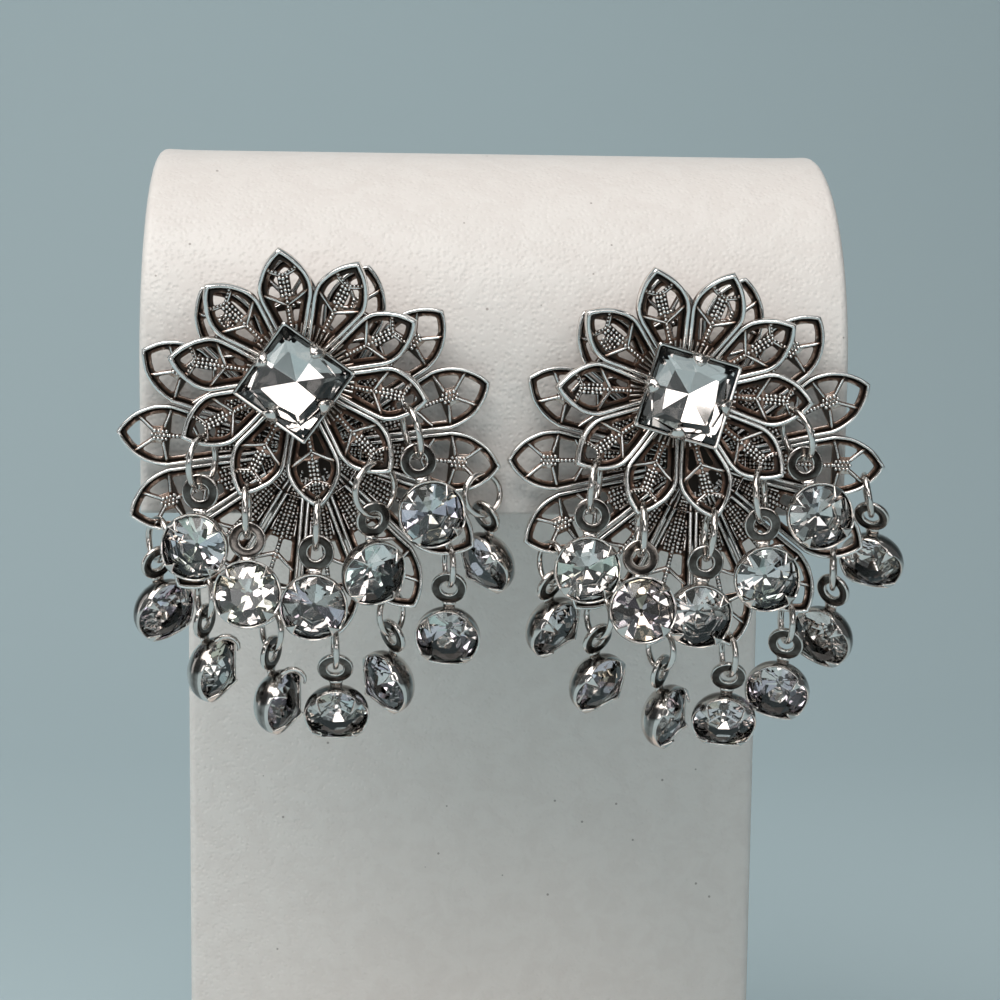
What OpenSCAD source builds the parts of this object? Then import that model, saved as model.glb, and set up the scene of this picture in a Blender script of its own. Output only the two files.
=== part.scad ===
// Pair of clip-on tassel earrings on the lip of a plain display stand.
// X runs to the right, Y to the back, Z up, and the origin lies on the floor under the middle of the roll.

/* [Stand] */
// Width of the stand's bent strip
stand_w = 71; // [68:1:80]
// Height of the stand
stand_h = 130; // [125:1:150]
// Thickness of the strip
strip_t = 2.6; // [2.2:0.1:3]
// Outer radius of the two bends at the top
roll_r = 23; // [20:0.5:24]
// Length of the flat between those two bends
roll_flat = 3; // [1:0.5:8]
// Distance from the top of the stand down to the lip's lower edge
lip_drop = 37; // [36:0.5:38]
// Outer radius of the bend between the leg and the foot
heel_r = 9; // [6:0.5:14]
// How far the foot reaches forward past the lip
foot_reach = 12; // [6:1:20]
// Radius of the strip's padded side edges
edge_r = 0.9; // [0.5:0.1:1]

/* [Flowers] */
// Tip radius of the back flower
back_tip_r = 19; // [18.5:0.1:19.5]
// Tip radius of the front flower
front_tip_r = 13; // [12.6:0.1:13.4]
// Forward tilt of the back flower's petals, in degrees
back_tilt = 5; // [3:1:6]
// Forward tilt of the front flower's petals, in degrees
front_tilt = 13; // [12:1:15]
// Width of the raised rim round each petal
rim_w = 0.5; // [0.45:0.05:0.6]
// Height of the rim
rim_t = 0.7; // [0.6:0.05:0.8]
// Width of the tracery bars inside a petal
bar_w = 0.45; // [0.4:0.05:0.5]
// Thickness of the tracery
web_t = 0.4; // [0.35:0.05:0.5]
// Gap between two neighbouring petals
groove_w = 0.24; // [0.2:0.02:0.3]

/* [Square stone] */
// Side of the square stone
square_side = 7.6; // [7:0.1:8]
// Wall of the square setting
square_wall = 0.35; // [0.3:0.05:0.4]
// Height of the square setting
square_cup_h = 3.6; // [3.4:0.1:4.2]

/* [Drops] */
// Diameter of the round stones
stone_d = 5.7; // [5.5:0.1:5.8]
// Outer diameter of the round cups
cup_d = 6.5; // [6.4:0.1:6.6]
// Depth of the round cups
cup_depth = 2.9; // [2.8:0.1:3.1]
// Outer diameter of the flat loop above each cup
loop_d = 3.6; // [3.5:0.1:3.7]
// Hole in that loop
loop_hole_d = 1.9; // [1.8:0.1:2]
// Thickness of the loop
loop_t = 0.5; // [0.4:0.05:0.55]
// Distance from the middle of the loop to the middle of the cup
loop_to_cup = 5.2; // [5.15:0.05:5.3]
// How far the middle of the cup stands in front of its flat loop
cup_forward = 1.2; // [1:0.1:1.3]
// Outer diameter of the front flower's jump rings
front_ring_d = 5.6; // [5.5:0.1:5.7]
// Outer diameter of the back flower's jump rings
back_ring_d = 4.6; // [4.5:0.1:4.7]
// Diameter of the jump rings' wire
wire_d = 0.52; // [0.48:0.02:0.56]

/* [Hidden] */
$fn = 48;
SIDES = ["left", "right"];

// One row for each earring: middle of the back flower (x, z), turns of the back flower, of the front
// flower and of the square stone, and how far and in which direction the front flower is set off.
PLACE = [
  // x      z     back  front  stone  offset  direction
  [-18.5, 99.8,   7.9,  9.0,    9.4,  7.1,    97],
  [ 19.8, 98.6,  12.1, 14.9,   29.0,  7.3,   105]
];
X = 0;
Z = 1;
BACK_TURN = 2;
FRONT_TURN = 3;
STONE_TURN = 4;
OFFSET = 5;
OFFSET_DIR = 6;

// One row for each drop, from the right one to the left one: petal counted clockwise from the top one,
// place of the ring along the petal's lower rim (mm from the tip), turn of the ring, turn of the cup,
// nod of the cup away from the viewer, and lean of ring and cup to the right.
FRONT_DROPS = [
  [
    // petal slide ring  face  nod  lean
    [3,   1.5,   15,    8,    2,   13],
    [4,   1.0,   20,   25,   12,   -4],
    [5,   0.5,    0,    0,    2,   -2],
    [6,  -0.6,    0,    0,   -8,    1],
    [7,  -1.4,  -25,   -8,    3,   -4]
  ],
  [
    [3,   1.5,   20,    0,    0,   16],
    [4,   1.6,  -20,    0,    4,    5],
    [5,   0.5,    0,    0,   10,   -6],
    [6,  -0.6,    0,    0,  -14,    0],
    [7,  -1.5,  -15,    0,    0,   -5]
  ]
];
BACK_DROPS = [
  [
    [4,   1.6,  -42,  -46,   30,   10],
    [5,   1.8,   10,   -8,   25,    1],
    [6,   2.0,  -35,  -50,   26,    3],
    [7,   0.0,    5,    0,   32,    1],
    [8,  -2.0,   30,   62,   16,   -1],
    [9,  -2.0,   25,   62,   18,   -1],
    [10, -2.0,   32,   38,   27,   -2]
  ],
  [
    [4,   1.5,  -10,  -25,   34,   12],
    [5,   2.0,  -15,  -40,   27,    1],
    [6,   1.6,    5,  -20,   26,   -1],
    [7,   0.5,   10,   -8,   32,    1],
    [8,  -1.4,   30,   55,   25,    1],
    [9,  -2.0,   30,   35,   31,   -3],
    [10, -2.0,   30,   40,   36,   -1]
  ]
];
PETAL = 0;
SLIDE = 1;
RING_YAW = 2;
FACE_YAW = 3;
NOD = 4;
LEAN = 5;

// Petal families: number of petals, tip radius, radius of the pointed arch, half angle at its tip,
// start of the petal inside the hub, hub radius, tilt, outer end of the solid root, and cluster radius.
BACK = [14, back_tip_r, 5.4, 64, 5, 6.4, back_tilt, 9.4, 14];
FRONT = [10, front_tip_r, 6, 58, 2.6, 4.2, front_tilt, 7.2, 9.5];
COUNT = 0;
TIP_R = 1;
ARCH_R = 2;
TIP_A = 3;
BASE_R = 4;
HUB_R = 5;
TILT = 6;
ROOT_R = 7;
NODE_R = 8;
BACK_ARM_R = 15;
FRONT_ARM_R = 10.5;

// Fits and seats
play = 0.12;
arc_steps = 6;
edge_steps = 24;
clip_w = 5;
clip_t = 0.8;
clip_gap = 0.15;
clip_pad_d = 9;
clip_rise = 4;
clip_drop = 0.9;
back_w = 2 * clip_gap + clip_t;
front_w = 4.2;
post_r = 2.4;
square_w = front_w + rim_t + 2 * play;
square_base_side = 4.2;
square_seat = 0.35;
prong_w = 1.2;
prong_t = 0.3;
prong_len = 1.25;
prong_tip_w = 0.3;
prong_lean = 48;
prong_foot = 0.15;
prong_drop = 0.2;
square_prong_lean = 40;
square_prong_foot = 0.62;
square_prong_drop = 0.3;
crown_h = 0.85;
girdle_h = 0.2;
square_crown_h = 1.2;
square_table_r = 2.9;
cup_wall = 0.28;
cup_lip = 0.35;
culet_r = 0.3;
neck_w = 1.4;
lip_y = -roll_r - roll_flat / 2;
lip_z = stand_h - lip_drop;
roll_z = stand_h - roll_r;

// Half of a petal's outline, from its root to its tip, moved in by inset from the true edge
function half_outline(f, inset) =
  let (
    half = 180 / f[COUNT],
    cx = -f[ARCH_R] * cos(f[TIP_A]),
    cy = f[TIP_R] - f[ARCH_R] * sin(f[TIP_A]),
    r = f[ARCH_R] - inset,
    g = groove_w / 2 + inset,
    q = cx * cos(half) + g - cy * sin(half),
    along = sqrt(r * r - q * q),
    a_notch = atan2(q * sin(half) + along * cos(half), along * sin(half) - q * cos(half)),
    a_tip = acos(-cx / r)
  )
  concat(
    [[f[BASE_R] * tan(half) - g / cos(half), f[BASE_R]]],
    [for (i = [0:arc_steps])
      let (a = a_notch + (a_tip - a_notch) * i / arc_steps) [cx + r * cos(a), cy + r * sin(a)]]
  );

// Whole outline: the right half, then its mirror image back down to the root
function outline(f, inset) =
  let (h = half_outline(f, inset), n = len(h))
  concat(h, [for (i = [n - 2:-1:0]) [-h[i][0], h[i][1]]]);

// Height of the rim's middle line above the hub's centre, at a distance x to the side of the petal's axis
function rim_y(f, x) =
  let (
    cx = -f[ARCH_R] * cos(f[TIP_A]),
    cy = f[TIP_R] - f[ARCH_R] * sin(f[TIP_A]),
    r = f[ARCH_R] - rim_w / 2
  )
  cy + sqrt(r * r - pow(abs(x) - cx, 2));

// Distance of the rim's middle line to the side of the petal's axis, at height y
function rim_x(f, y) =
  let (
    half = 180 / f[COUNT],
    cx = -f[ARCH_R] * cos(f[TIP_A]),
    cy = f[TIP_R] - f[ARCH_R] * sin(f[TIP_A]),
    r = f[ARCH_R] - rim_w / 2,
    arch = cx + sqrt(r * r - pow(y - cy, 2)),
    side = y * tan(half) - (groove_w / 2 + rim_w / 2) / cos(half)
  )
  min(arch, side);

// Direction from the rim towards the inside of its petal, as an angle in the petal's own plane
function inward(f, x) =
  let (cx = -f[ARCH_R] * cos(f[TIP_A]), r = f[ARCH_R] - rim_w / 2, a = acos((abs(x) - cx) / r))
  x > 0 ? a + 180 : x < 0 ? -a : -90;

// A point of a tilted petal, seen from the front: right, up and forward from the flower's centre
function on_petal(f, turn, x, y, lift) =
  let (
    r = f[BASE_R] + (y - f[BASE_R]) * cos(f[TILT]) - lift * sin(f[TILT]),
    w = (y - f[BASE_R]) * sin(f[TILT]) + lift * cos(f[TILT])
  )
  [x * cos(turn) - r * sin(turn), x * sin(turn) + r * cos(turn), w];

function family(front) = front ? FRONT : BACK;

// Centre of a flower, from the middle of the back flower on the lip's face
function flower_centre(side, front) =
  let (p = PLACE[side])
  front ? [p[OFFSET] * cos(p[OFFSET_DIR]), p[OFFSET] * sin(p[OFFSET_DIR]), front_w] : [0, 0, back_w];

function petal_turn(side, front, k) =
  (front ? PLACE[side][FRONT_TURN] : PLACE[side][BACK_TURN]) - 360 / family(front)[COUNT] * k;

// Middle of the wire where a jump ring passes through the tip gap of its petal
function ring_top(side, front, d) =
  let (
    f = family(front),
    room = rim_w / 2 + wire_d / 2 + 2.5 * play,
    a = inward(f, d[SLIDE]),
    x = d[SLIDE] + room * cos(a),
    y = rim_y(f, d[SLIDE]) + room * sin(a)
  )
  flower_centre(side, front) + on_petal(f, petal_turn(side, front, d[PETAL]), x, y, rim_t / 2);

function ring_r(front) = ((front ? front_ring_d : back_ring_d) - wire_d) / 2;

// Direction in which a ring and its cup hang
function down(d) = [sin(d[LEAN]), -cos(d[LEAN]), 0];

function ring_centre(side, front, d) = ring_top(side, front, d) + ring_r(front) * down(d);

// Middle of the hole in a cup's loop, which hangs on the lowest part of its ring
function loop_centre(side, front, d) =
  let (hole = loop_hole_d / 2 * cos(d[NOD]) - loop_t / 2 * sin(abs(d[NOD])))
  ring_centre(side, front, d) + (ring_r(front) + hole - wire_d / 2 - 2.2 * play) * down(d);

function drops(side, front) = front ? FRONT_DROPS[side] : BACK_DROPS[side];

// Cross-section of the strip: thickness along X, width along Y, with rounded edges
module strip_section() {
  square([strip_t, stand_w - 2 * edge_r], center = true);
  square([strip_t - 2 * edge_r, stand_w], center = true);
  for (x = [-1, 1])
    for (y = [-1, 1])
      translate([x * (strip_t / 2 - edge_r), y * (stand_w / 2 - edge_r)])
        circle(edge_r, $fn = edge_steps);
}

// A straight length of strip that stands up from a point of its front face
module strip_length(at, len, turn) {
  translate(at)
    rotate([turn, 0, 0])
      translate([0, strip_t / 2, 0])
        rotate([0, 0, 90])
          linear_extrude(len)
            strip_section();
}

// A quarter bend of the strip about an axis along X, from one angle to the next
module strip_bend(axis_y, axis_z, r, from) {
  translate([0, axis_y, axis_z])
    rotate([0, 90, 0])
      rotate([0, 0, from])
        rotate_extrude(angle = 90)
          translate([r - strip_t / 2, 0])
            strip_section();
}

module stand() {
  color("whitesmoke") {
    strip_length([0, lip_y, lip_z], roll_z - lip_z, 0);
    strip_bend(-roll_flat / 2, roll_z, roll_r, 180);
    strip_length([0, -roll_flat / 2, stand_h], roll_flat, -90);
    strip_bend(roll_flat / 2, roll_z, roll_r, 90);
    strip_length([0, -lip_y - strip_t, heel_r], roll_z - heel_r, 0);
    strip_bend(-lip_y - heel_r, heel_r, heel_r, 0);
    strip_length([0, lip_y - foot_reach, strip_t], -2 * lip_y + foot_reach - heel_r, -90);
  }
}

// Puts what was made facing forward on the lip, in the place of the given earring
module on_lip(side) {
  translate([PLACE[side][X], lip_y, PLACE[side][Z]])
    rotate([90, 0, 0])
      children();
}

// A bar of the tracery between two points of a petal
module bar(from, to) {
  d = to - from;
  translate([from[0], from[1], rim_t / 2 - web_t / 2])
    rotate([0, 0, atan2(d[1], d[0])])
      translate([0, -bar_w / 2, 0])
        cube([norm(d), bar_w, web_t]);
}

// One pierced petal, flat, with its tip along Y: raised rim, solid root and the given bars
module petal(f, arm_r, stem) {
  linear_extrude(rim_t)
    difference() {
      polygon(outline(f, 0));
      polygon(outline(f, rim_w));
    }
  half = 180 / f[COUNT];
  g = groove_w / 2 + rim_w / 2;
  lo = f[BASE_R] + rim_w;
  hi = f[ROOT_R];
  translate([0, 0, rim_t / 2 - web_t / 2])
    linear_extrude(web_t)
      polygon([
        [lo * tan(half) - g / cos(half), lo],
        [hi * tan(half) - g / cos(half), hi],
        [-hi * tan(half) + g / cos(half), hi],
        [-lo * tan(half) + g / cos(half), lo]
      ]);
  knot = [0, f[NODE_R]];
  for (s = [-1, 1])
    bar(knot, [s * rim_x(f, arm_r), arm_r]);
  translate([0, f[NODE_R], rim_t / 2 - web_t / 2])
    cylinder(h = web_t + 0.1, r = bar_w);
  if (stem)
    bar([0, f[ROOT_R] - rim_w], knot);
}

// A whole flower: tilted petals round a flat hub
module flower(f, turn, arm_r, stem) {
  rotate([0, 0, turn]) {
    cylinder(h = rim_t, r = f[HUB_R]);
    for (i = [0:f[COUNT] - 1])
      rotate([0, 0, -360 / f[COUNT] * i])
        translate([0, f[BASE_R], 0])
          rotate([f[TILT], 0, 0])
            translate([0, -f[BASE_R], 0])
              petal(f, arm_r, stem);
  }
}

module back_flower(side) {
  color("darkgray")
    on_lip(side)
      translate([0, 0, back_w])
        flower(BACK, PLACE[side][BACK_TURN], BACK_ARM_R, true);
}

// The front flower, on a short post that ends just above the back flower's petals
module front_flower(side) {
  rise = (PLACE[side][OFFSET] + post_r - BACK[BASE_R]) * tan(BACK[TILT]);
  post_w = back_w + rim_t / cos(BACK[TILT]) + rise + play;
  color("darkgray")
    on_lip(side)
      translate(flower_centre(side, true)) {
        flower(FRONT, PLACE[side][FRONT_TURN], FRONT_ARM_R, false);
        translate([0, 0, post_w - front_w])
          cylinder(h = front_w - post_w + rim_t / 2, r = post_r);
      }
}

// The spring clip: a strip bent under the lip's lower edge, with a round pad behind
module clip(side) {
  inner = strip_t + 2 * clip_gap;
  bend_r = inner / 2 + clip_t;
  bend_v = lip_z - PLACE[side][Z] - clip_drop;
  color("silver")
    on_lip(side)
      rotate([0, 0, PLACE[side][BACK_TURN]]) {
        translate([-clip_w / 2, bend_v, clip_gap])
          cube([clip_w, clip_rise - bend_v, clip_t]);
        translate([-clip_w / 2, bend_v, clip_gap - inner - clip_t])
          cube([clip_w, -bend_v, clip_t]);
        translate([0, 0, clip_gap - inner - clip_t])
          cylinder(h = clip_t, d = clip_pad_d);
        translate([-clip_w / 2, bend_v, clip_gap - inner / 2])
          rotate([0, 90, 0])
            rotate([0, 0, 180])
              rotate_extrude(angle = 180)
                translate([inner / 2, 0])
                  square([clip_t, clip_w]);
      }
}

// Pointed tab on a short upright foot, leaning in over a stone from the edge of its setting
module prong(at_r, at_w, foot, lean) {
  translate([at_r, 0, at_w]) {
    translate([-prong_t / 2, -prong_w / 2, 0])
      cube([prong_t, prong_w, foot]);
    translate([0, 0, foot])
      rotate([0, -lean, 0])
        rotate([90, 0, 90])
          linear_extrude(prong_t, center = true)
            polygon([
              [-prong_w / 2, 0],
              [prong_w / 2, 0],
              [prong_tip_w / 2, prong_len],
              [-prong_tip_w / 2, prong_len]
            ]);
  }
}

module square_setting(side) {
  outer = square_side / 2 + square_wall + play;
  inner = square_side / 2 + play;
  color("silver")
    on_lip(side)
      translate(flower_centre(side, true) + [0, 0, square_w - front_w])
        rotate([0, 0, PLACE[side][STONE_TURN] + 45]) {
          difference() {
            rotate([0, 0, 45])
              cylinder(h = square_cup_h, r1 = square_base_side / sqrt(2), r2 = outer * sqrt(2), $fn = 4);
            translate([0, 0, square_seat])
              rotate([0, 0, 45])
                cylinder(
                  h = square_cup_h - square_seat + 0.01,
                  r1 = (square_base_side / 2 - square_wall) * sqrt(2),
                  r2 = inner * sqrt(2),
                  $fn = 4
                );
          }
          for (a = [0:90:270])
            rotate([0, 0, a])
              prong(inner + prong_t / 2, square_cup_h - square_prong_drop, square_prong_foot, square_prong_lean);
        }
}

// Clear square stone: octagonal table, eight crown facets, thin girdle and a four-sided pavilion
module square_stone(side) {
  seat = square_w + square_cup_h;
  bottom = square_w + square_seat + 3 * play;
  color("lightcyan")
    on_lip(side)
      translate([flower_centre(side, true)[0], flower_centre(side, true)[1], 0])
        rotate([0, 0, PLACE[side][STONE_TURN] + 45])
          hull() {
            translate([0, 0, seat + girdle_h + square_crown_h - 0.01])
              rotate([0, 0, 22.5])
                cylinder(h = 0.01, r = square_table_r, $fn = 8);
            translate([-square_side / 2, -square_side / 2, seat])
              cube([square_side, square_side, girdle_h]);
            translate([0, 0, bottom])
              rotate([0, 0, 45])
                cylinder(h = 0.01, r = square_base_side / sqrt(2) - 3 * square_wall, $fn = 4);
          }
}

module ring(side, front, d) {
  on_lip(side)
    translate(ring_centre(side, front, d))
      rotate([0, 0, d[LEAN]])
        rotate([0, d[RING_YAW] + 90, 0])
          rotate_extrude()
            translate([ring_r(front), 0])
              circle(wire_d / 2, $fn = edge_steps);
}

module rings(side, front) {
  color("silver")
    for (d = drops(side, front))
      ring(side, front, d);
}

// Turns a drop about the hole of its loop; its own frame has the face forward and the cup below
module hang(side, front, d) {
  on_lip(side)
    translate(loop_centre(side, front, d))
      rotate([d[NOD], 0, 0])
        rotate([0, 0, d[LEAN]])
          rotate([0, d[FACE_YAW], 0])
            children();
}

// Profile of the round bowl, one wall thick, from the rim round to the bottom
function bowl(r, depth) = [for (i = [0:arc_steps]) let (a = 90 * i / arc_steps) [r * cos(a), -depth * sin(a)]];

// A cup: flat loop, short neck, round bowl and four prongs
module cup(side, front, d) {
  r = cup_d / 2;
  inner = r - cup_wall;
  outer_bowl = bowl(r, cup_depth - cup_lip);
  inner_bowl = bowl(inner, cup_depth - cup_lip - cup_wall);
  mid_r = r - cup_wall / 2;
  color("silver")
    hang(side, front, d) {
      difference() {
        union() {
          translate([0, 0, -loop_t / 2])
            cylinder(h = loop_t, d = loop_d);
          translate([-neck_w / 2, -loop_to_cup + 0.7 * r, -loop_t / 2])
            cube([neck_w, loop_to_cup - 0.7 * r - loop_hole_d / 2, loop_t]);
        }
        translate([0, 0, -loop_t])
          cylinder(h = 2 * loop_t, d = loop_hole_d);
        translate([0, -loop_to_cup, cup_forward])
          rotate_extrude()
            polygon(concat(
              [[0, 2 * cup_lip], [mid_r, 2 * cup_lip]],
              bowl(mid_r, cup_depth - cup_lip - cup_wall / 2)
            ));
      }
      translate([0, -loop_to_cup, cup_forward]) {
        rotate_extrude()
          polygon(concat(
            [[r, cup_lip]],
            outer_bowl,
            [for (i = [arc_steps:-1:0]) inner_bowl[i]],
            [[inner, cup_lip]]
          ));
        for (a = [45:90:315])
          rotate([0, 0, a])
            prong(inner + prong_t / 2, cup_lip - prong_drop, prong_foot, prong_lean);
      }
    }
}

module cups(side) {
  for (d = BACK_DROPS[side])
    cup(side, false, d);
}

// A round stone: eight-sided table, crown and pavilion facets
module round_stone(side, front, d) {
  color("lightcyan")
    hang(side, front, d)
      translate([0, -loop_to_cup, cup_forward])
        hull() {
          translate([0, 0, girdle_h + crown_h - 0.01])
            rotate([0, 0, 22.5])
              cylinder(h = 0.01, r = stone_d * 0.29, $fn = 8);
          cylinder(h = girdle_h, d = stone_d, $fn = 16);
          translate([0, 0, cup_wall + 2 * play - cup_depth + cup_lip])
            cylinder(h = 0.01, r = culet_r, $fn = 8);
        }
}

stand();
for (s = [0:1]) {
  p = SIDES[s];
  clip(s);
  back_flower(s);
  front_flower(s);
  square_setting(s);
  square_stone(s);
  rings(s, true);
  rings(s, false);
  cups(s);
  for (i = [1:5]) {
    cup(s, true, FRONT_DROPS[s][i - 1]);
    round_stone(s, true, FRONT_DROPS[s][i - 1]);
  }
  for (i = [1:7])
    round_stone(s, false, BACK_DROPS[s][i - 1]);
}
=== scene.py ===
import math
import random

import bmesh
import bpy
from mathutils import Matrix, Vector
from mathutils.bvhtree import BVHTree


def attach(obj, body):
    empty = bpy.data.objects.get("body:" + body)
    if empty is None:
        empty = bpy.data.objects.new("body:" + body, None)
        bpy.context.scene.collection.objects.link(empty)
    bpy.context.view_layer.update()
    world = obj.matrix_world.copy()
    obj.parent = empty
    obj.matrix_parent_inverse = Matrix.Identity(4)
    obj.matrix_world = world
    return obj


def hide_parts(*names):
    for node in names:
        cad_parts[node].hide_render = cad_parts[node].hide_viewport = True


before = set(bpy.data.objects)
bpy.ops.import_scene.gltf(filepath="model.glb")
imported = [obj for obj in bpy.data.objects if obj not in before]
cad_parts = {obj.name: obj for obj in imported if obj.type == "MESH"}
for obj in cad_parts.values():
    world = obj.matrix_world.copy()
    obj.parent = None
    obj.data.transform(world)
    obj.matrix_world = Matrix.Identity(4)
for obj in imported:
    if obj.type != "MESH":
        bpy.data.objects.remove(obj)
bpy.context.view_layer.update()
print("frame loaded with", len(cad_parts), "nodes")

mm = 0.001
sides = ("left", "right")


def sin(a):
    return math.sin(math.radians(a))


def cos(a):
    return math.cos(math.radians(a))


def pick(sockets, name):
    if isinstance(name, int):
        return sockets[name]
    named = [s for s in sockets if s.name == name]
    live = [s for s in named if s.enabled]
    return (live or named)[0]


class Value:
    # wraps one socket, so that shader maths reads as plain sums
    def __init__(self, maker, socket):
        self.maker = maker
        self.socket = socket

    def maths(self, operation, first, second):
        return self.maker.get("ShaderNodeMath", {"operation": operation}, {0: first, 1: second})

    def __add__(self, other):
        return self.maths("ADD", self, other)

    def __radd__(self, other):
        return self.maths("ADD", other, self)

    def __sub__(self, other):
        return self.maths("SUBTRACT", self, other)

    def __rsub__(self, other):
        return self.maths("SUBTRACT", other, self)

    def __mul__(self, other):
        return self.maths("MULTIPLY", self, other)

    def __rmul__(self, other):
        return self.maths("MULTIPLY", other, self)


class Maker:
    # adds nodes to one tree: type, settings first, then values or links of the sockets
    def __init__(self, tree):
        self.tree = tree

    def add(self, kind, settings=None, sockets=None):
        node = self.tree.nodes.new(kind)
        for key, value in (settings or {}).items():
            if key == "stops":
                ramp = node.color_ramp
                while len(ramp.elements) < len(value):
                    ramp.elements.new(0.5)
                for element, (place, colour) in zip(ramp.elements, value):
                    element.position = place
                    element.color = (*colour, 1)
            else:
                setattr(node, key, value)
        for key, value in (sockets or {}).items():
            socket = pick(node.inputs, key)
            if isinstance(value, Value):
                value = value.socket
            if isinstance(value, bpy.types.NodeSocket):
                self.tree.links.new(value, socket)
            else:
                socket.default_value = (*value, 1) if socket.type == "RGBA" else value
        return node

    def out(self, node, name=0):
        if name == 0:
            name = next(i for i, s in enumerate(node.outputs) if s.enabled)
        return Value(self, pick(node.outputs, name))

    def get(self, kind, settings, sockets, name=0):
        return self.out(self.add(kind, settings, sockets), name)


class Finish(Maker):
    # one material with its Principled shader, patterns on Object coordinates
    def __init__(self, name, fixed):
        self.material = bpy.data.materials.new(name)
        self.material.use_nodes = True
        super().__init__(self.material.node_tree)
        self.tree.nodes.clear()
        self.shader = self.add("ShaderNodeBsdfPrincipled", {}, fixed)
        self.add("ShaderNodeOutputMaterial", {}, {"Surface": self.shader.outputs[0]})
        self.place = self.get("ShaderNodeTexCoord", {}, {}, "Object")

    def noise(self, size, detail=3.0, rough=0.5, distort=0.0):
        return self.get("ShaderNodeTexNoise", {}, {
            "Vector": self.place, "Scale": 1 / (size * mm), "Detail": detail, "Roughness": rough,
            "Distortion": distort}, "Fac")

    def cells(self, size, jitter=1.0):
        return self.get("ShaderNodeTexVoronoi", {}, {
            "Vector": self.place, "Scale": 1 / (size * mm), "Randomness": jitter}, "Distance")

    def attribute(self, name):
        return self.get("ShaderNodeAttribute", {"attribute_name": name}, {}, "Fac")

    def ramp(self, value, stops):
        return self.get("ShaderNodeValToRGB", {"stops": stops}, {"Fac": value}, "Color")

    def between(self, value, low, high, toLow=0.0, toHigh=1.0):
        return self.get("ShaderNodeMapRange", {"interpolation_type": "SMOOTHSTEP"}, {
            "Value": value, "From Min": low, "From Max": high, "To Min": toLow, "To Max": toHigh}, "Result")

    def blend(self, amount, first, second):
        return self.get("ShaderNodeMix", {"data_type": "RGBA"}, {
            "Factor": amount, "A": first, "B": second}, "Result")

    def bump(self, height, depth, strength):
        return self.get("ShaderNodeBump", {}, {
            "Height": height, "Distance": depth * mm, "Strength": strength}, "Normal")

    def set(self, name, value):
        self.tree.links.new(value.socket, pick(self.shader.inputs, name))


leatherLook = {
    "pale": (0.85, 0.805, 0.77),
    "shade": (0.82, 0.77, 0.735),
    "speck": (0.16, 0.12, 0.10),
    "grainSize": 0.55,
    "creaseSize": 3.2,
    "speckSpacing": 3.6,
    "grainDepth": 0.09,
}
silverLook = {
    "bright": (0.86, 0.85, 0.83),
    "wornAndShaded": (0.63, 0.56, 0.51),
    "patina": (0.035, 0.026, 0.020),
    "brown": (0.10, 0.055, 0.038),
    "bronze": (0.42, 0.30, 0.24),
    "fineGrain": 0.2,
}
stoneLook = {
    "glass": (0.975, 0.97, 0.965),
    "ior": 1.58,
    # foil tones drawn per facet: painted glints of colour and grey for the stones' fire and reflections
    "foil": [(0.0, (0.97, 0.95, 0.93)), (0.3, (0.90, 0.87, 0.85)), (0.5, (0.66, 0.63, 0.61)),
             (0.7, (0.95, 0.93, 0.92)), (0.9, (0.80, 0.74, 0.84)), (0.96, (0.74, 0.86, 0.82)),
             (1.0, (0.97, 0.85, 0.68))],
    "foilRoughness": 0.04,
}


def makeLeather():
    look = leatherLook
    f = Finish("leatherette", {"Specular IOR Level": 0.42, "Sheen Weight": 0.08})
    grain = f.cells(look["grainSize"], jitter=0.9)
    creases = f.noise(look["creaseSize"], 3.0, 0.62, 0.6)
    specks = f.between(f.cells(look["speckSpacing"]), 0.035, 0.05, 1.0, 0.0)
    tone = f.between(creases, 0.35, 0.62)
    f.set("Base Color", f.blend(specks * 0.6, f.blend(tone, look["shade"], look["pale"]), look["speck"]))
    f.set("Roughness", f.between(grain + creases * 0.3, 0.1, 0.9, 0.5, 0.34))
    height = f.between(grain, 0.0, 0.6) * 0.45 + f.between(creases, 0.42, 0.6) * 0.25
    f.set("Normal", f.bump(height, look["grainDepth"], 0.9))
    return f.material


def makeAgedSilver():
    look = silverLook
    f = Finish("agedSilver", {"Specular IOR Level": 0.5})
    wear = f.noise(1.3, 4.0, 0.6)
    fine = f.noise(look["fineGrain"], 2.0)
    clean = f.between(f.attribute("polish") + (wear - 0.5) * 0.45 + (fine - 0.5) * 0.2, 0.12, 0.72)
    f.set("Base Color", f.ramp(clean, [
        (0.0, look["patina"]), (0.3, look["brown"]), (0.62, look["bronze"]), (0.85, look["wornAndShaded"]),
        (1.0, look["bright"])]))
    f.set("Metallic", f.between(clean, 0.0, 0.4, 0.6, 1.0))
    f.set("Roughness", f.between(clean + (fine - 0.5) * 0.3, 0.1, 0.95, 0.5, 0.14))
    f.set("Normal", f.bump(fine * 0.4 + f.noise(0.5, 3.0) * 0.8, 0.03, 0.5))
    return f.material


def makeBrightSilver():
    look = silverLook
    f = Finish("brightSilver", {"Specular IOR Level": 0.5})
    smudge = f.noise(1.7, 4.0, 0.6)
    fine = f.noise(look["fineGrain"], 2.0)
    clean = f.between(f.attribute("polish") + (smudge - 0.5) * 0.4, 0.05, 0.6)
    f.set("Base Color", f.blend(clean, look["patina"], f.blend(smudge, look["bright"], look["wornAndShaded"])))
    f.set("Metallic", f.between(clean, 0.0, 0.35, 0.8, 1.0))
    f.set("Roughness", f.between(smudge + fine * 0.3, 0.3, 0.95, 0.07, 0.2))
    f.set("Normal", f.bump(smudge * 0.6 + fine * 0.2, 0.03, 0.35))
    return f.material


def makeGlass():
    return Finish("crystal", {
        "Base Color": stoneLook["glass"], "Roughness": 0.0, "IOR": stoneLook["ior"],
        "Transmission Weight": 1.0}).material


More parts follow.
